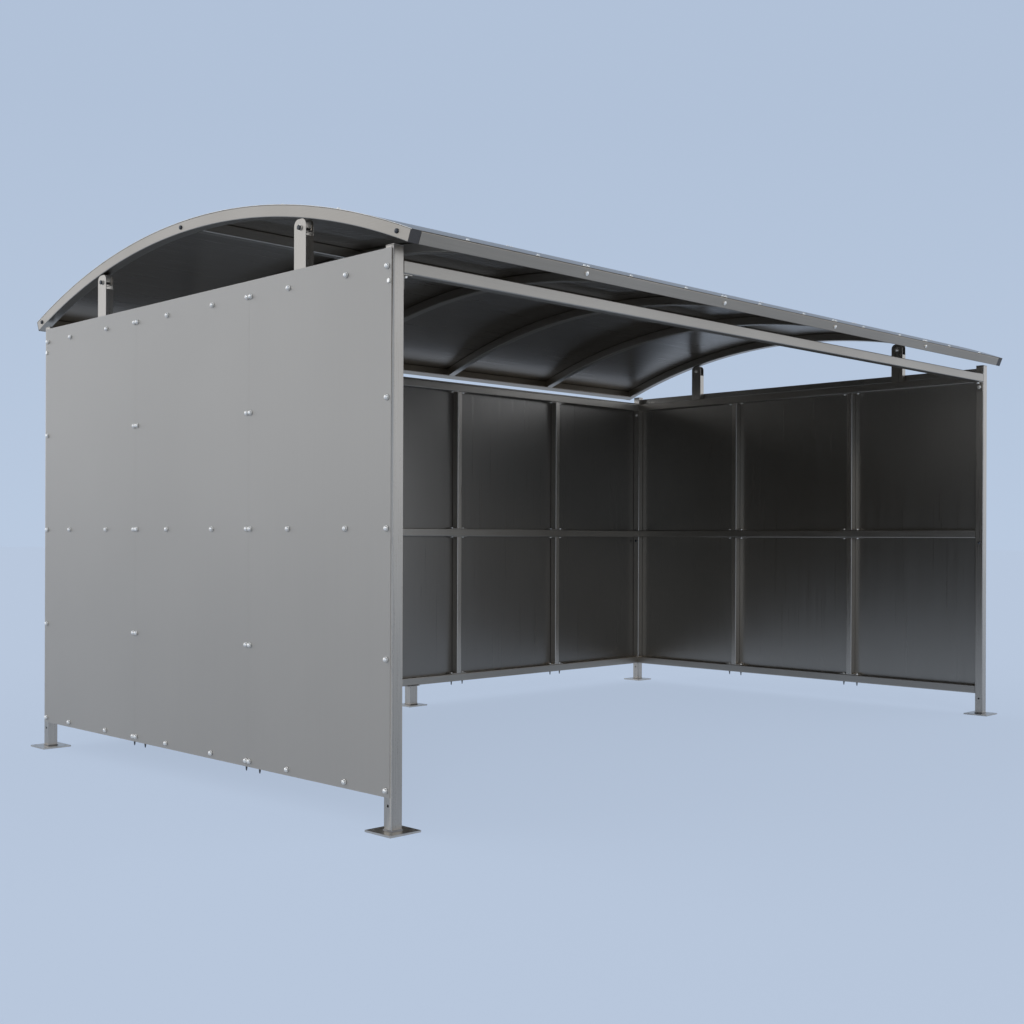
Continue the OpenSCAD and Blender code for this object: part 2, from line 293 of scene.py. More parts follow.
def add_sum(tree, first, second, share):
    """first plus share of second, where both are around one half."""
    node = tree.nodes.new("ShaderNodeMath")
    node.operation = "MULTIPLY_ADD"
    node.inputs[1].default_value = share
    tree.links.new(second, node.inputs[0])
    tree.links.new(first, node.inputs[2])
    return node.outputs[0]


print("helpers for noise, range and sum are ready")

# %% [markdown]
# ## Coated steel
# Every steel finish is one recipe with other colours. The dark and the light tone are
# mixed by clouds and streaks, the streaks and a fine grain set how rough it is, and
# the grain lifts the surface by a tenth of a millimetre.

# %% Recipe for satin steel
def satin_steel(name, dark, light, gloss, streak, clouds=1.1, metal=1.0, share=0.6):
    """Coated steel: colour from dark to light over clouds plus a share of streaks,
    roughness over the range gloss by the same streaks, and a relief of fine grain."""
    material, tree, shader = finish_tree(name)
    cloud = add_noise(tree, clouds, 3.0)
    streaks = add_noise(tree, 1.0, 4.0, streak, 0.6)
    grain = add_noise(tree, 700.0, 2.0)
    mix = tree.nodes.new("ShaderNodeMix")
    mix.data_type = "RGBA"
    mix.inputs["A"].default_value = (*dark, 1)
    mix.inputs["B"].default_value = (*light, 1)
    middle = 0.5 + 0.5 * share
    pattern = add_sum(tree, cloud, streaks, share)
    tone = add_range(tree, pattern, 0.0, 1.0, middle - 0.25, middle + 0.25)
    tree.links.new(tone, mix.inputs["Factor"])
    tree.links.new(mix.outputs["Result"], shader.inputs["Base Color"])
    tree.links.new(
        add_range(tree, add_sum(tree, streaks, grain, 0.5), gloss[0], gloss[1], 0.5, 1.0),
        shader.inputs["Roughness"],
    )
    shader.inputs["Metallic"].default_value = metal
    bump = tree.nodes.new("ShaderNodeBump")
    bump.inputs["Strength"].default_value = 0.35
    bump.inputs["Distance"].default_value = 0.00012
    tree.links.new(add_sum(tree, grain, streaks, 0.8), bump.inputs["Height"])
    tree.links.new(bump.outputs["Normal"], shader.inputs["Normal"])
    return material


print("satin steel takes a dark tone, a light tone and the way it was rolled")

# %% [markdown]
# ## The finishes of the shelter
# Tubes that run up, across and back have their streaks along the tube and a slightly
# different tone each; the upright tubes are painted lighter, which is painted light for
# the lamp on the post faces. The sheets are lighter and less metallic outside than
# inside: the darker inside is partly a coat of its own and partly painted shade, and the
# back wall's inside is darker still with painted shade.
# Bolts are bright plated steel or dark, and sawn edges are left bare.

# %% Finishes of tubes, sheets and bolts
rolled_up, rolled_across, rolled_back = (160, 160, 4), (4, 160, 160), (160, 4, 160)
sheet_up, fine, gloss_in = (90, 90, 1.2), (300, 300, 300), (0.27, 0.35)

# Painted light: the upright tubes' tones are raised above the rails' so that the post faces look
# lit.
tube_up_painted_light = satin_steel(
    "tube_upright_painted_light", (0.375, 0.340, 0.295), (0.465, 0.425, 0.375), (0.25, 0.36), rolled_up
)
tube_along_x = satin_steel(
    "tube_across", (0.295, 0.268, 0.232), (0.370, 0.338, 0.296), (0.28, 0.40), rolled_across
)
eave_steel = satin_steel(
    "tube_eave", (0.330, 0.285, 0.232), (0.400, 0.350, 0.290), (0.30, 0.42), rolled_across
)
tube_along_y = satin_steel(
    "tube_deep", (0.315, 0.285, 0.245), (0.395, 0.360, 0.315), (0.30, 0.42), rolled_back
)
# Painted shade in part: the inside of the side sheets is darker than the outside, partly its own
# coat and partly shade painted in.
side_inside_coat_and_shade = satin_steel(
    "side_sheet_inside_coat_and_shade", (0.285, 0.262, 0.230), (0.325, 0.300, 0.267),
    gloss_in, sheet_up, 0.75, share=0.2,
)
# Painted shade: the back wall's inside is a darker copy of the side sheets' inside, with shade
# painted into its colour.
back_inside_coat_and_shade = satin_steel(
    "back_sheet_inside_coat_and_shade", (0.186, 0.172, 0.152), (0.220, 0.204, 0.183),
    gloss_in, sheet_up, 0.75, share=0.2,
)
wall_outside = satin_steel(
    "wall_sheet_outside", (0.400, 0.388, 0.368), (0.445, 0.433, 0.412),
    (0.38, 0.44), (60, 60, 1.2), 0.7, 0.35, 0.25,
)
roof_steel = satin_steel(
    "roof_sheet_steel", (0.186, 0.157, 0.125), (0.224, 0.192, 0.156),
    (0.26, 0.34), (2.0, 60, 60), 0.8, share=0.25,
)
foot_steel = satin_steel(
    "foot_plate_steel", (0.42, 0.395, 0.36), (0.54, 0.51, 0.47), (0.30, 0.42), (40, 40, 40), 9.0
)
plated = satin_steel(
    "plated_fastener", (0.80, 0.77, 0.71), (0.97, 0.94, 0.88),
    (0.20, 0.36), (400, 400, 400), 60.0, 0.75,
)
dark_bolt = satin_steel(
    "dark_bolt_steel", (0.05, 0.05, 0.052), (0.11, 0.11, 0.112), (0.35, 0.5), fine, 60.0
)
bare_steel = satin_steel(
    "bare_sawn_edge", (0.62, 0.60, 0.56), (0.80, 0.78, 0.74), (0.25, 0.4), fine, 60.0, 0.6
)
weld_steel = satin_steel(
    "weld_bead_steel", (0.19, 0.18, 0.17), (0.30, 0.28, 0.26), (0.38, 0.55), (500, 500, 500), 40.0
)
print("steel finishes:", len(bpy.data.materials))

# %% [markdown]
# ## Plastic and rubber
# The plugs in the arch ends are moulded plastic and the seals under the bolts rubber,
# whose dark rim round each bolt is also painted shade.
# Neither was rolled, so a fine speckle takes the place of the streaks.

# %% Finishes of plugs and seals
def moulded_plastic(name, dark, light):
    """Matt plastic: fine speckle in colour and a moulded grain as relief."""
    material, tree, shader = finish_tree(name)
    speckle = add_noise(tree, 260.0, 3.0)
    mix = tree.nodes.new("ShaderNodeMix")
    mix.data_type = "RGBA"
    mix.inputs["A"].default_value = (*dark, 1)
    mix.inputs["B"].default_value = (*light, 1)
    tree.links.new(add_range(tree, speckle, 0, 1), mix.inputs["Factor"])
    tree.links.new(mix.outputs["Result"], shader.inputs["Base Color"])
    tree.links.new(add_range(tree, speckle, 0.42, 0.6), shader.inputs["Roughness"])
    bump = tree.nodes.new("ShaderNodeBump")
    bump.inputs["Strength"].default_value = 0.5
    bump.inputs["Distance"].default_value = 0.0002
    tree.links.new(speckle, bump.inputs["Height"])
    tree.links.new(bump.outputs["Normal"], shader.inputs["Normal"])
    return material


plug_plastic = moulded_plastic("plug_plastic", (0.045, 0.045, 0.048), (0.075, 0.075, 0.08))
seal_rubber_and_shade = moulded_plastic("seal_rubber_and_shade", (0.030, 0.030, 0.032), (0.055, 0.055, 0.058))
print("finishes:", len(bpy.data.materials))

# %% [markdown]
# ## Posts, plates and stubs
# These have drilled holes, which a grid can't show simply, so a merged copy of the
# CAD part is kept and only its edges are eased. On a post that is the four long
# corners of the tube, by the bend radius; on plates it is every edge, by a file's
# width. A bevel modifier with edge weights does both.

# %% Eased copies of the drilled parts
def eased_copy(node, name, finish, width, long_edge=0.0, inner_share=0.5):
    """A copy of a node with merged points and flat faces, and a bevel on its sharp
    edges, or only on those longer than long_edge, where the bore's get a share."""
    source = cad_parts[node]
    mesh = source.data.copy()
    mesh.name = name
    shell = bmesh.new()
    shell.from_mesh(mesh)
    bmesh.ops.remove_doubles(shell, verts=shell.verts, dist=1e-5)
    bmesh.ops.dissolve_limit(
        shell, angle_limit=math.radians(0.5), verts=shell.verts, edges=shell.edges
    )
    weight = shell.edges.layers.float.new("bevel_weight_edge")
    for edge in shell.edges:
        sharp = len(edge.link_faces) == 2 and edge.calc_face_angle(0) > math.radians(50)
        if sharp and edge.calc_length() > long_edge:
            edge[weight] = 1.0 if edge.calc_face_angle_signed() > 0 else inner_share
    shell.to_mesh(mesh)
    shell.free()
    piece = bpy.data.objects.new(name, mesh)
    dress(piece, finish, 32.0)
    bevel = piece.modifiers.new("eased_edges", "BEVEL")
    bevel.limit_method = "WEIGHT"
    bevel.width = width
    bevel.segments = 4 if long_edge else 2
    bevel.harden_normals = True
    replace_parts(piece, node)
    return piece


longest_cut = 0.4
for corner_name in ("front_left", "front_right", "back_left", "back_right"):
    eased_copy(f"post_{corner_name}", f"post_{corner_name}_steel", tube_up_painted_light, bend_radius, longest_cut)
    eased_copy(f"stub_{corner_name}", f"stub_{corner_name}_steel", tube_up_painted_light, 0.0009)
eased_copy("base_plates", "base_plates_steel", foot_steel, 0.0016)
eased_copy("post_caps", "post_caps_steel", tube_along_x, 0.0022)
eased_copy("beam_brackets", "beam_brackets_steel", tube_along_y, 0.0009)
eased_copy("arch_end_plugs", "arch_end_plugs_plastic", plug_plastic, 0.0018)
print("drilled parts eased")

# %% [markdown]
# ## Rails and the front beam
# The rails are sawn lengths of the same tube, welded between the posts. Each is the
# rounded section carried from end to end of its node's box, so it fills exactly the
# place that the frame gives it.

# %% Straight tubes of the walls and the roof
def rail_along(node, axis, finish):
    """The tube that fills a node's box, with its path along the given axis."""
    low, high = corners(node)
    middle = (low + high) / 2
    start, end = middle.copy(), middle.copy()
    start[axis], end[axis] = low[axis], high[axis]
    piece = steel_piece(f"{node}_tube", [straight(start, end)], finish)
    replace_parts(piece, node)


for level in ("bottom", "middle", "top"):
    rail_along(f"left_rail_{level}", 1, tube_along_y)
    rail_along(f"right_rail_{level}", 1, tube_along_y)
    rail_along(f"back_rail_{level}", 0, tube_along_x)
rail_along("front_beam", 0, tube_along_x)

mid_radius = roof_radius - half_tube


def on_roof(angle, radius):
    """Point(s) of the Y-Z circle at an angle from the crown, toward the back."""
    angle = np.asarray(angle, float)
    place = np.zeros(angle.shape + (3,))
    place[..., 1] = radius * np.sin(angle)
    place[..., 2] = roof_centre_z + radius * np.cos(angle)
    return place


def outward(angle):
    """Direction away from the circle's centre at an angle."""
    angle = np.asarray(angle, float)
    return np.stack([np.zeros_like(angle), np.sin(angle), np.cos(angle)], -1)


sheet_half = math.asin(sheet_reach / sheet_skin)
rail_angle = sheet_half - tube_side / 2 / roof_radius
for side, node in ((-1, "front_eave_rail"), (1, "back_eave_rail")):
    low, high = corners(node)
    start = on_roof(side * rail_angle, mid_radius) + [low[0], 0, 0]
    end = on_roof(side * rail_angle, mid_radius) + [high[0], 0, 0]
    patch = straight(start, end, up=outward(side * rail_angle))
    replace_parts(steel_piece(f"{node}_tube", [patch], eave_steel), node)
print("eave rail angle", round(math.degrees(rail_angle), 2))

# %% [markdown]
# ## Arches
# An arch is the same tube rolled to the roof's radius. A curve with a bevel profile
# would do it too, but carried along a path of its own the section keeps its corners
# square to the roof, and the bore stays open at the ends.

# %% Rolled arches, the ridge tubes and the lugs under the end arches
def arch_patch(x, half_angle, count=97):
    """Tube on the roof's circle: path point k is at angle k between the two ends."""
    angle = np.linspace(-half_angle, half_angle, count)
    return hollow(on_roof(angle, mid_radius) + [x, 0, 0], outward(angle))


def node_half_angle(node):
    """Largest angle from the crown that a node's outer face reaches."""
    points = node_points(node)
    radius = np.hypot(points[:, 1], points[:, 2] - roof_centre_z)
    outer = points[radius > roof_radius - 0.0008]
    return math.asin(np.abs(outer[:, 1]).max() / roof_radius)


for index in range(1, 5):
    low, high = corners(f"rib_{index}")
    patch = arch_patch((low[0] + high[0]) / 2, node_half_angle(f"rib_{index}"))
    rib = steel_piece(f"rib_{index}_tube", [patch], tube_along_y)
    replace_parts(rib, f"rib_{index}")

stub_names = ("front_left", "back_left", "front_right", "back_right")
stub_box = {side: corners(f"stub_{side}") for side in stub_names}
lug_half, lug_wall, lug_long, lug_drop, lug_root = 0.0167, 0.003, 0.056, 0.049, 0.001
lug_low = stub_box["front_left"][1][2] - lug_drop


def lug_patches(x, y):
    """Two cheeks and the web between them, up to the arch's underside."""
    outer_y = abs(y) + lug_long / 2
    top = roof_centre_z + math.sqrt((roof_radius - tube_side) ** 2 - outer_y**2)
    near, away, root = y - lug_long / 2, y + lug_long / 2, top + lug_root
    left, right = x - lug_half, x + lug_half
    inner_left, inner_right = left + lug_wall, right - lug_wall
    return [
        plate_patch((left, near, lug_low), (inner_left, away, root), 0),
        plate_patch((inner_right, near, lug_low), (right, away, root), 0),
        plate_patch((inner_left, near, top - lug_wall), (inner_right, away, root), 2),
    ]


for side in ("left", "right"):
    low, high = stub_box[f"front_{side}"]
    x = (low[0] + high[0]) / 2
    stub_y = abs(low[1] + high[1]) / 2
    patches = [arch_patch(x, node_half_angle(f"end_arch_{side}"))]
    for end in (-1, 1):
        patches += lug_patches(x, end * stub_y)
    arch = steel_piece(f"end_arch_{side}_tube", patches, tube_along_y)
    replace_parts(arch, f"end_arch_{side}")

ridge_low, ridge_high = corners("ridge_purlin")
ridge_mid = (ridge_low[2] + ridge_high[2]) / 2
bays = 5
bay = (right_x - left_x) / bays
ridge_patches = []
for index in range(bays):
    start = left_x + index * bay + (tube_side if index == 0 else half_tube)
    end = left_x + (index + 1) * bay - (tube_side if index == bays - 1 else half_tube)
    ridge_patches.append(straight((start, 0, ridge_mid), (end, 0, ridge_mid)))
ridge = steel_piece("ridge_purlin_tubes", ridge_patches, tube_along_x)
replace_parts(ridge, "ridge_purlin")
print("arches and ridge in place, stubs at y =", round(stub_y, 4))

# %% [markdown]
# ## Uprights
# Between two rails stands a slimmer tube with a foot plate welded on each end, and
# two bolts go through each plate into the rail. Every upright of a wall is one copy
# of the same little part, so their places are worked out as a list.

# %% Uprights with their foot plates, and the middle leg
slim, plate_thick, ear_half, ear_corner = 0.040, 0.004, 0.068, 0.006
left_cuts = np.linspace(front_y, back_y, 4)[1:-1]
back_cuts = np.linspace(left_x, right_x, 6)[1:-1]


def upright_patches(x, y, level, along):
    """Tube and two foot plates of one upright. along is 0 on the back wall, 1 on a side."""
    low, high = rail_low[level] + tube_side, rail_low[level + 1]
    width, height = (tube_side, slim) if along else (slim, tube_side)
    half_x, half_y = (half_tube, ear_half) if along else (ear_half, half_tube)
    foot, head = (x, y, low + plate_thick), (x, y, high - plate_thick)
    parts = [straight(foot, head, up=(0, 1, 0), width=width, height=height)]
    for z in (low, high - plate_thick):
        near, away = (x - half_x, y - half_y, z), (x + half_x, y + half_y, z + plate_thick)
        parts.append(plate_patch(near, away, 2, ear_corner))
    return parts


for side, x in (("left", left_x + half_tube), ("right", right_x - half_tube)):
    parts = [p for y in left_cuts for level in (0, 1) for p in upright_patches(x, y, level, 1)]
    piece = steel_piece(f"{side}_uprights_tubes", parts, tube_up_painted_light)
    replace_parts(piece, f"{side}_uprights")
for level, word in ((0, "lower"), (1, "upper")):
    parts = [p for x in back_cuts for p in upright_patches(x, back_y - half_tube, level, 0)]
    piece = steel_piece(f"back_uprights_{word}_tubes", parts, tube_up_painted_light)
    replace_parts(piece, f"back_uprights_{word}")

leg_low, leg_high = corners("middle_leg")
leg_x, leg_y = (leg_low[0] + leg_high[0]) / 2, (leg_low[1] + leg_high[1]) / 2
leg_side = leg_high[1] - leg_low[1]
leg_top = leg_high[2] - plate_thick
leg_foot, leg_head = (leg_x, leg_y, leg_low[2]), (leg_x, leg_y, leg_top)
leg_parts = [
    straight(leg_foot, leg_head, up=(0, 1, 0), width=leg_side, height=leg_side),
    plate_patch((leg_low[0], leg_low[1], leg_top), leg_high, 2, ear_corner),
]
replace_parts(steel_piece("middle_leg_tube", leg_parts, tube_up_painted_light), "middle_leg")
print("uprights:", 2 * 2 * len(left_cuts) + 2 * len(back_cuts))

# %% [markdown]
# ## Wall sheets
# A two-millimetre sheet held by a few bolts is never quite flat: it bellies by half a
# millimetre between them, and that is what makes its gloss wander. Front and back of
# the sheet form one ring round its section, and the rings at the foot and the head
# are pinched shut.

# %% Sheets that are almost flat
belly_depth, joint_play = 0.0005, 0.0002


def sheet_patch(low, high, thin_axis, phase):
    """Closed thin sheet: ring j runs along the front and back along the rear at height
    j. Both faces are shifted by belly * sin * sin of the place on the sheet, which is
    zero at its edges."""
    across = 1 - thin_axis
    columns, rows = 15, 31
    u = np.concatenate([np.linspace(0, 1, columns), np.linspace(1, 0, columns)])
    face = np.concatenate([np.zeros(columns), np.ones(columns)])
    v = np.linspace(0, 1, rows)
    u_grid, v_grid = np.meshgrid(u, v)
    wave = np.sin(2 * np.pi * v_grid + phase) * np.sin(np.pi * v_grid)
    belly = belly_depth * np.sin(np.pi * u_grid) * wave
    grid = np.empty(u_grid.shape + (3,))
    grid[..., across] = low[across] + u_grid * (high[across] - low[across])
    grid[..., 2] = low[2] + v_grid * (high[2] - low[2])
    grid[..., thin_axis] = low[thin_axis] + face * (high[thin_axis] - low[thin_axis]) + belly
    pinch_low, pinch_high = grid[:1].copy(), grid[-1:].copy()
    for pinch in (pinch_low, pinch_high):
        pinch[..., thin_axis] = (low[thin_axis] + high[thin_axis]) / 2
    return np.concatenate([pinch_low, grid, pinch_high]), False, True


def wall_sheets(node, thin_axis, cuts, outside, inside):
    """The sheets of a wall, between its ends and the joints at the uprights. Faces
    whose normal points inward get the darker inside finish, partly a coat of its own and
    partly painted shade; the others keep the outside coat."""
    low, high = corners(node)
    across = 1 - thin_axis
    edges = np.concatenate([[low[across]], np.repeat(cuts, 2), [high[across]]])
    edges[1:-1] += np.tile([-joint_play, joint_play], len(cuts))
    patches = []
    for index in range(len(edges) // 2):
        start, end = low.copy(), high.copy()
        start[across], end[across] = edges[2 * index], edges[2 * index + 1]
        patches.append(sheet_patch(start, end, thin_axis, 0.9 * index))
    piece = steel_piece(f"{node}_steel", patches, wall_outside)
    piece.data.materials.append(inside)
    normals = np.empty(len(piece.data.polygons) * 3)
    piece.data.polygons.foreach_get("normal", normals)
    inward = normals.reshape(-1, 3)[:, thin_axis] * outside < -0.5
    piece.data.polygons.foreach_set("material_index", inward.astype(np.int32))
    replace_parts(piece, node)


wall_sheets("left_sheets", 0, left_cuts, -1, side_inside_coat_and_shade)
wall_sheets("right_sheets", 0, left_cuts, 1, side_inside_coat_and_shade)
wall_sheets("back_sheets", 1, back_cuts, 1, back_inside_coat_and_shade)
print("wall sheets:", 2 * (len(left_cuts) + 1) + len(back_cuts) + 1)

# %% [markdown]
# ## Roof sheets
# Each roof sheet covers one bay and is bent over the arches. Its section is a thin
# ring too, but the ring is carried round the roof's circle instead of up a wall.

# %% Five curved sheets
def roof_patch(x_low, x_high, count=97):
    """Closed curved sheet: ring j lies at angle j, its points at the inner radius going
    out and at the outer radius coming back, with both end rings pinched shut."""
    inner, outer = sheet_skin - sheet_thick, sheet_skin
    x = np.array([x_low, x_low + 0.01, x_high - 0.01, x_high])
    x = np.concatenate([x, x[::-1]])
    radius = np.array([inner] * 4 + [outer] * 4)
    angle = np.linspace(-sheet_half, sheet_half, count)
    angle = np.concatenate([angle[:1], angle, angle[-1:]])
    radius = np.tile(radius, (len(angle), 1))
    radius[[0, -1]] = (inner + outer) / 2
    grid = np.empty(radius.shape + (3,))
    grid[..., 0] = x
    grid[..., 1] = radius * np.sin(angle)[:, None]
    grid[..., 2] = roof_centre_z + radius * np.cos(angle)[:, None]
    return grid, False, True


def bare_edges(piece, axis):
    """Faces whose normal lies along the axis are the sawn edges, left bare."""
    piece.data.materials.append(bare_steel)
    normals = np.empty(len(piece.data.polygons) * 3)
    piece.data.polygons.foreach_get("normal", normals)
    sawn = np.abs(normals.reshape(-1, 3)[:, axis]) > 0.7
    piece.data.polygons.foreach_set("material_index", sawn.astype(np.int32))


for index in range(1, 6):
    low, high = corners(f"roof_sheet_{index}")
    patch = roof_patch(low[0], high[0])
    piece = steel_piece(f"roof_sheet_{index}_steel", [patch], roof_steel)
    bare_edges(piece, 0)
    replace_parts(piece, f"roof_sheet_{index}")
print("roof sheets: 5, half angle", round(math.degrees(sheet_half), 2))

# %% [markdown]
# ## Bolts of the walls
# The sheets are held by bright domed bolts in five rows. A dome is a lathe shape: its
# outline runs from the washer's rim up over the head. All the bolts of a wall are one
# array of places times one small grid, with a few dozen faces for each bolt.

# %% Domed bolts, row by row
dome = [(0, -0.0005), (0.0112, -0.0005), (0.0113, 0.0018), (0.0099, 0.0024)]
dome += [(0.0097, 0.0074), (0.0080, 0.0108), (0.0046, 0.0127), (0, 0.0132)]
seal = [(0, -0.0004), (0.0126, -0.0004), (0.0124, 0.0007), (0, 0.0007)]
pair_half, end_inset, bay_shares = 0.013, 0.035, (0.3, 0.7)


def bolt_row_places(start, end, cuts):
    """Places along a wall of the bolts in a full row and in a row between rails."""
    edges = np.concatenate([[start], cuts, [end]])
    thirds = np.concatenate([edges[:-1] + share * np.diff(edges) for share in bay_shares])
    pairs = np.concatenate([cuts - pair_half, cuts + pair_half])
    ends = np.array([start + end_inset, end - end_inset])
    return np.concatenate([ends, pairs, thirds]), np.concatenate([ends, pairs])


def wall_bolts(name, thin_axis, face, outside, start, end, cuts):
    """All bolts of a wall, their axes square to it."""
    full, between = bolt_row_places(start, end, cuts)
    halfway = [(rail_mid[0] + rail_mid[1]) / 2, (rail_mid[1] + rail_mid[2]) / 2]
    along = np.concatenate([np.tile(full, 3), np.tile(between, 2)])
    up = np.concatenate([np.repeat(rail_mid, len(full)), np.repeat(halfway, len(between))])
    places = np.empty((len(along), 3))
    places[:, thin_axis], places[:, 1 - thin_axis], places[:, 2] = face, along, up
    axis = np.zeros(3)
    axis[thin_axis] = outside
    steel_piece(name, [turned(dome, places, axis)], plated, 40)
    # The dark seal rings are rubber, and their dark rim also paints the shade round each bolt.
    steel_piece(f"{name}_seals", [turned(seal, places, axis)], seal_rubber_and_shade, 40)
    return len(places)


left_face, right_face = corners("left_sheets")[0][0], corners("right_sheets")[1][0]
back_face = corners("back_sheets")[1][1]
count = wall_bolts("left_wall_bolts", 0, left_face, -1, front_y, back_y, left_cuts)
count += wall_bolts("right_wall_bolts", 0, right_face, 1, front_y, back_y, left_cuts)
count += wall_bolts("back_wall_bolts", 1, back_face, 1, left_x, right_x, back_cuts)
print("wall bolts:", count)

# %% [markdown]
# ## Bolts through the posts
# Rails are fixed by a bolt across each post. Screws are one more lathe shape, which
# narrows to a tip that shows under the bottom rail; the thread is its outline going
# in and out.

# %% Cross bolts of the posts
hex_head = [(0, 0), (0.0110, 0), (0.0113, 0.0014), (0.0086, 0.0016)]
hex_head += [(0.0084, 0.0068), (0.0066, 0.0080), (0, 0.0080)]
low_dome = [(0, 0), (0.0100, 0), (0.0097, 0.0040), (0.0062, 0.0068), (0, 0.0073)]
screw_turns = np.arange(12)
screw_outline = [(0, 0), (0.0070, 0), (0.0070, -0.004), (0.0052, -0.0045)]
screw_outline += [
    (0.0050 - 0.0005 * (k % 2) - 0.00012 * k, -0.0055 - 0.0013 * k) for k in screw_turns
]
screw_outline += [(0.0022, -0.0235), (0, -0.0275)]

cross_drop, bracket_thick, bracket_bolt, ear_bolt = 0.056, 0.004, 0.0245, 0.05
cross_z = [z - cross_drop for z in rail_mid]
head_places, head_axes, dark_places, dark_axes = [], [], [], []
for sx, sy in ((-1, -1), (1, -1), (-1, 1), (1, 1)):
    face_x = left_x if sx < 0 else right_x
    middle_y = front_y + half_tube if sy < 0 else back_y - half_tube
    inner_x = face_x - sx * tube_side
    inner_x -= sx * bracket_thick if sy < 0 else 0
    head_places += [(face_x, middle_y, cross_z[2]), (inner_x, middle_y, cross_z[2])]
    head_axes += [(sx, 0, 0), (-sx, 0, 0)]
    dark_places.append((face_x - sx * tube_side, middle_y, cross_z[1]))
    dark_axes.append((-sx, 0, 0))
for side in (-1, 1):
    x = (left_x if side < 0 else right_x) - side * (tube_side + bracket_bolt)
    head_places.append((x, front_y + half_tube, rail_low[2] - bracket_thick))
    head_axes.append((0, 0, -1))

print("post bolts:", len(head_places), "dark ones:", len(dark_places))

# %% [markdown]
# ## Bolts of the foot plates
# Each foot plate of an upright has a bolt on either side of the tube. One list of
# spots, seen from above, serves every level: at each level the same spots get a
# height, and the bolts point up above a rail and down below it.

# %% Plate bolts and screw points
ear_steps = (-ear_bolt, ear_bolt)
ear_spots = []
for y in left_cuts:
    for x in (left_x + half_tube, right_x - half_tube):
        ear_spots += [(x, y + step) for step in ear_steps]
for x in back_cuts:
    ear_spots += [(x + step, back_y - half_tube) for step in ear_steps]
ear_spots = np.array(ear_spots)


def spots_at(heights):
    """The spots repeated at each height, a row (x, y, z) to a bolt."""
    levels = [np.column_stack([ear_spots, np.full(len(ear_spots), z)]) for z in heights]
    return np.vstack(levels)


ear_tops = [rail_low[0] + tube_side + plate_thick, rail_low[1] + tube_side + plate_thick]
ear_unders = [rail_low[1] - plate_thick, rail_low[2] - plate_thick]
upward, downward, tips = spots_at(ear_tops), spots_at(ear_unders), spots_at(rail_low[:1])
steel_piece("post_bolts", [turned(hex_head, head_places, head_axes, 12, 6)], plated, 30)
steel_piece("post_middle_bolts", [turned(low_dome, dark_places, dark_axes)], dark_bolt, 40)
plate_bolts = [turned(low_dome, upward, (0, 0, 1)), turned(low_dome, downward, (0, 0, -1))]
steel_piece("foot_plate_bolts", plate_bolts, plated, 40)
steel_piece("screw_points", [turned(screw_outline, tips, (0, 0, 1), 10)], dark_bolt, 50)
print("plate bolts:", len(upward) + len(downward), "screw points:", len(tips))

# %% [markdown]
# ## Bolts of the stubs
# The roof hangs on four bolts, each through the two ears of a stub and the lug
# between them, with a washer and a hexagon head outside and a nut inside.

# %% Hinge bolts with washers, heads and nuts
washer = [(0, 0), (0.0120, 0), (0.0120, 0.0020), (0, 0.0020)]
big_head = [(0, 0.0020), (0.0092, 0.0020), (0.0092, 0.0088), (0.0076, 0.0100), (0, 0.0100)]
nut_outline = [(0, 0.0020), (0.0090, 0.0020), (0.0092, 0.0035), (0.0092, 0.0090)]
nut_outline += [(0.0080, 0.0105), (0.0052, 0.0105), (0.0050, 0.0170), (0, 0.0178)]
shank = [(0, 0), (0.0060, 0), (0.0060, 0.040), (0, 0.040)]
stub_bolt_drop = 0.036
outer_places, inner_places, outer_axes = [], [], []
for word, (low, high) in stub_box.items():
    side = -1 if "left" in word else 1
    y, z = (low[1] + high[1]) / 2, high[2] - stub_bolt_drop
    outer_places.append((low[0] if side < 0 else high[0], y, z))
    inner_places.append((high[0] if side < 0 else low[0], y, z))
    outer_axes.append((side, 0, 0))
outer_axes = np.array(outer_axes, float)
washers = [
    turned(washer, outer_places, outer_axes, 20),
    turned(washer, inner_places, -outer_axes, 20),
]
heads = [
    turned(big_head, outer_places, outer_axes, 12, 6),
    turned(shank, outer_places, -outer_axes, 12),
]
nuts = [turned(nut_outline, inner_places, -outer_axes, 12, 6)]
steel_piece("stub_bolt_washers", washers, plated, 30)
steel_piece("stub_bolt_heads", heads, dark_bolt, 30)
steel_piece("stub_bolt_nuts", nuts, plated, 30)
print("stub bolts:", len(outer_places))

# %% [markdown]
# ## Screws of the roof
# The roof sheets are held by small screws along the eaves and over the arches. They
# stand square to the curve, so their axes come from the same circle as the sheets.

# %% Roof screws
button = [(0, -0.0002), (0.0085, -0.0002), (0.0085, 0.0014), (0.0064, 0.0018)]
button += [(0.0060, 0.0056), (0, 0.0066)]
screw_half, eave_inset = 0.012, 0.013
rib_x = left_x + np.arange(1, bays) * bay
seam_x = [rib_x - screw_half, rib_x + screw_half]
eave_x = np.concatenate([left_x + (np.arange(bays) + share) * bay for share in bay_shares] + seam_x)
screw_angle = sheet_half - eave_inset / sheet_skin
eave_angles = np.repeat([-screw_angle, screw_angle], len(eave_x))
eave_places = on_roof(eave_angles, sheet_skin)
eave_places[:, 0] = np.tile(eave_x, 2)
arch_angle = np.array([-0.26, -0.165, -0.085, 0.085, 0.165, 0.26])
arch_x = np.concatenate([[left_x + half_tube, right_x - half_tube]] + seam_x)
arch_angles = np.repeat(arch_angle, len(arch_x))
arch_places = on_roof(arch_angles, sheet_skin)
arch_places[:, 0] = np.tile(arch_x, len(arch_angle))
screw_axes = outward(np.concatenate([eave_angles, arch_angles]))
screws = turned(button, np.vstack([eave_places, arch_places]), screw_axes)
steel_piece("roof_screws", [screws], plated, 40)

print("roof screws:", len(eave_places) + len(arch_places))

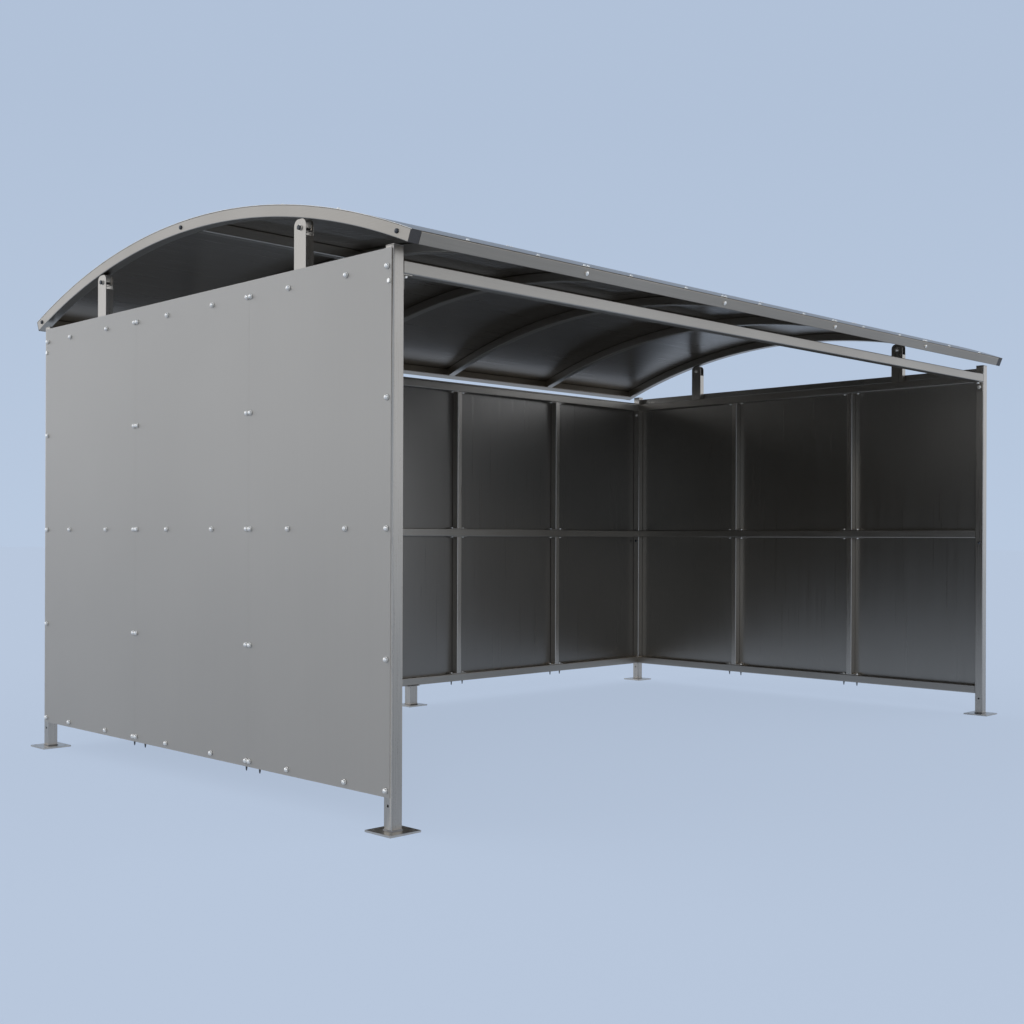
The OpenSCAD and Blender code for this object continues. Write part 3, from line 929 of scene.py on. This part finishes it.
# %% [markdown]
# ## Bolts of the eave rails and end arches
# One bolt at each rib goes through the eave rail, square to its sloping front, and
# three dark ones stand on the outer side of each end arch.

# %% Fascia bolts and the bolts of the end arches
fascia_places, fascia_axes = [], []
for side in (-1, 1):
    slope = np.array([0, side * math.cos(rail_angle), -math.sin(rail_angle)])
    centre = on_roof(side * rail_angle, mid_radius) + slope * half_tube
    for index in range(1, 5):
        fascia_places.append(centre + [left_x + index * bay, 0, 0])
        fascia_axes.append(slope)
steel_piece("fascia_bolts", [turned(low_dome, fascia_places, fascia_axes)], plated, 40)

side_angle = np.array([-0.361, 0.020, 0.368])
side_places, side_axes = [], []
for side, x in ((-1, left_x), (1, right_x)):
    for angle in side_angle:
        side_places.append(on_roof(angle, mid_radius) + [x, 0, 0])
        side_axes.append((side, 0, 0))
steel_piece("end_arch_bolts", [turned(low_dome, side_places, side_axes)], dark_bolt, 40)
print("fascia bolts:", len(fascia_places), "end arch bolts:", len(side_places))

# %% [markdown]
# ## Weld beads
# Posts are welded to their base plates all round. A bead is a small fillet with
# ripples where the weld pool froze. Its section is carried round the post's outline,
# and swells and shrinks a little with the distance travelled.

# %% Fillets round the feet of the posts
ripple_depth, ripples = 0.14, 46


def bead_patch(x, y, z, side, leg=0.0045):
    """Closed fillet: at place t of the outline its three-sided section has the leg
    length leg times one plus a ripple, a sine that turns 46 times round the foot."""
    outline = rounded_section(side, side, bend_radius, 4)
    closed = np.vstack([outline, outline[:1]])
    travel = np.concatenate([[0], np.cumsum(np.linalg.norm(np.diff(closed, axis=0), axis=1))])
    t = np.linspace(0, travel[-1], 240, endpoint=False)
    ring = np.column_stack([np.interp(t, travel, closed[:, k]) for k in (0, 1)])
    away = ring / np.linalg.norm(ring, axis=1, keepdims=True)
    size = leg * (1 + ripple_depth * np.sin(t / travel[-1] * 2 * np.pi * ripples))
    steps = [(-0.2, 0.0), (1.0, 0.0), (0.72, 0.38), (0.38, 0.72), (0.0, 1.0), (-0.2, 1.0)]
    steps = np.array(steps)
    grid = np.empty((len(t), len(steps), 3))
    spread = size[:, None, None] * steps[None, :, :1] * away[:, None]
    grid[..., :2] = np.array([x, y]) + ring[:, None] + spread
    grid[..., 2] = z + size[:, None] * steps[None, :, 1]
    return grid, True, True


plate_top = corners("base_plates")[1][2]
beads = [
    bead_patch(x, y, plate_top, tube_side)
    for x in (left_x + half_tube, right_x - half_tube)
    for y in (front_y + half_tube, back_y - half_tube)
]
beads.append(bead_patch(leg_x, leg_y, plate_top, leg_side))
steel_piece("foot_weld_beads", beads, weld_steel, 60)
print("weld beads:", len(beads))

# %% [markdown]
# ## Floor and background
# The shelter stands on a plain pale blue studio floor that runs into a background of
# the same colour. Camera and gloss see a steady glow of that colour with a share of
# diffuse paint, which keeps the soft shadow. All other light meets a plain grey.

# %% Studio floor
def is_seen(tree):
    """One where a camera, glossy or transmission ray looks, else zero."""
    path = tree.nodes.new("ShaderNodeLightPath")
    total = None
    for word in ("Is Camera Ray", "Is Glossy Ray", "Is Transmission Ray"):
        if total is None:
            total = path.outputs[word]
            continue
        node = tree.nodes.new("ShaderNodeMath")
        node.operation = "MAXIMUM"
        tree.links.new(total, node.inputs[0])
        tree.links.new(path.outputs[word], node.inputs[1])
        total = node.outputs[0]
    return total


floor_material = bpy.data.materials.new("studio_floor")
floor_material.use_nodes = True
tree = floor_material.node_tree
tree.nodes.clear()
output = tree.nodes.new("ShaderNodeOutputMaterial")
plain = tree.nodes.new("ShaderNodeBsdfDiffuse")
plain.inputs["Color"].default_value = (0.52, 0.50, 0.48, 1)
tinted = tree.nodes.new("ShaderNodeBsdfDiffuse")
tinted.inputs["Color"].default_value = (0.47, 0.56, 0.70, 1)
glow = tree.nodes.new("ShaderNodeEmission")
glow.inputs["Color"].default_value = (0.56, 0.667, 0.844, 1)
own_share = tree.nodes.new("ShaderNodeMixShader")
own_share.inputs[0].default_value = 0.72
tree.links.new(tinted.outputs[0], own_share.inputs[1])
tree.links.new(glow.outputs[0], own_share.inputs[2])
blend = tree.nodes.new("ShaderNodeMixShader")
tree.links.new(is_seen(tree), blend.inputs[0])
tree.links.new(plain.outputs[0], blend.inputs[1])
tree.links.new(own_share.outputs[0], blend.inputs[2])
tree.links.new(blend.outputs[0], output.inputs["Surface"])

floor_mesh = bpy.data.meshes.new("studio_floor")
reach = 120.0
floor_corners = [(-reach, -reach, 0), (reach, -reach, 0), (reach, reach, 0), (-reach, reach, 0)]
floor_mesh.from_pydata(floor_corners, [], [(0, 1, 2, 3)])
floor = bpy.data.objects.new("studio_floor", floor_mesh)
floor_mesh.materials.append(floor_material)
bpy.context.scene.collection.objects.link(floor)
print("floor reaches", reach, "metres each way")

# %% [markdown]
# ## Background
# The background darkens a little with height. Like the floor it has two sides: what
# the camera and gloss look at, and an even room light that fills the shadows.

# %% Sky and room light
sky_low, sky_high = (0.485, 0.585, 0.740), (0.440, 0.535, 0.688)
world = bpy.data.worlds.new("studio_world")
bpy.context.scene.world = world
world.use_nodes = True
tree = world.node_tree
tree.nodes.clear()
output = tree.nodes.new("ShaderNodeOutputWorld")
place = tree.nodes.new("ShaderNodeTexCoord")
split = tree.nodes.new("ShaderNodeSeparateXYZ")
tree.links.new(place.outputs["Generated"], split.inputs["Vector"])
sky_mix = tree.nodes.new("ShaderNodeMix")
sky_mix.data_type = "RGBA"
sky_mix.inputs["A"].default_value = (*sky_low, 1)
sky_mix.inputs["B"].default_value = (*sky_high, 1)
height = add_range(tree, split.outputs["Z"], 0.0, 1.0, 0.0, 0.30)
tree.links.new(height, sky_mix.inputs["Factor"])
seen_sky = tree.nodes.new("ShaderNodeBackground")
tree.links.new(sky_mix.outputs["Result"], seen_sky.inputs["Color"])
room_light = tree.nodes.new("ShaderNodeBackground")
room_light.inputs["Color"].default_value = (1.0, 0.99, 0.97, 1)
room_light.inputs["Strength"].default_value = 0.32
blend = tree.nodes.new("ShaderNodeMixShader")
tree.links.new(is_seen(tree), blend.inputs[0])
tree.links.new(room_light.outputs[0], blend.inputs[1])
tree.links.new(seen_sky.outputs[0], blend.inputs[2])
tree.links.new(blend.outputs[0], output.inputs["Surface"])
print("sky from", sky_low, "to", sky_high)

# %% [markdown]
# ## Lamps and camera
# One wide soft lamp stands to the left and behind, so that the left wall is bright
# and grows brighter to the rear. A weaker one at the front right lights the post
# faces, and a small one at the camera's corner picks out the edges. The camera stands
# at chest height off the front left corner.

# %% Lamps and camera
def soft_sun(name, power, spread, toward, tint=(1, 1, 1)):
    """A sun of a given spread that shines along a direction."""
    lamp = bpy.data.lights.new(name, "SUN")
    lamp.energy, lamp.angle, lamp.color = power, math.radians(spread), tint
    holder = bpy.data.objects.new(name, lamp)
    bpy.context.scene.collection.objects.link(holder)
    z_axis = -np.array(toward, float)
    z_axis /= np.linalg.norm(z_axis)
    holder.rotation_euler = (math.acos(z_axis[2]), 0, math.atan2(z_axis[0], -z_axis[1]))
    return holder


warm_white = (1.0, 0.975, 0.94)
soft_sun("lamp_left", 1.2, 90, (0.5, -0.85, -0.28), warm_white)
soft_sun("lamp_front", 0.7, 80, (-1.2, 1.0, -0.5), warm_white)
soft_sun("lamp_corner", 0.5, 20, (0.72, 0.70, -0.42))

camera_data = bpy.data.cameras.new("camera")
camera_data.lens = 46.386
camera_data.sensor_width = 36.0
camera_data.shift_y = 0.02486
camera_data.clip_end = 400.0
camera = bpy.data.objects.new("camera", camera_data)
camera.location = (-5.573, -5.216, 1.1056)
camera.rotation_euler = (math.radians(90), math.radians(-0.198), math.radians(-44.858))
bpy.context.scene.collection.objects.link(camera)
bpy.context.scene.camera = camera
bpy.context.scene.view_settings.view_transform = "Standard"
print("lamps:", len(bpy.data.lights), "camera at", tuple(round(v, 3) for v in camera.location))
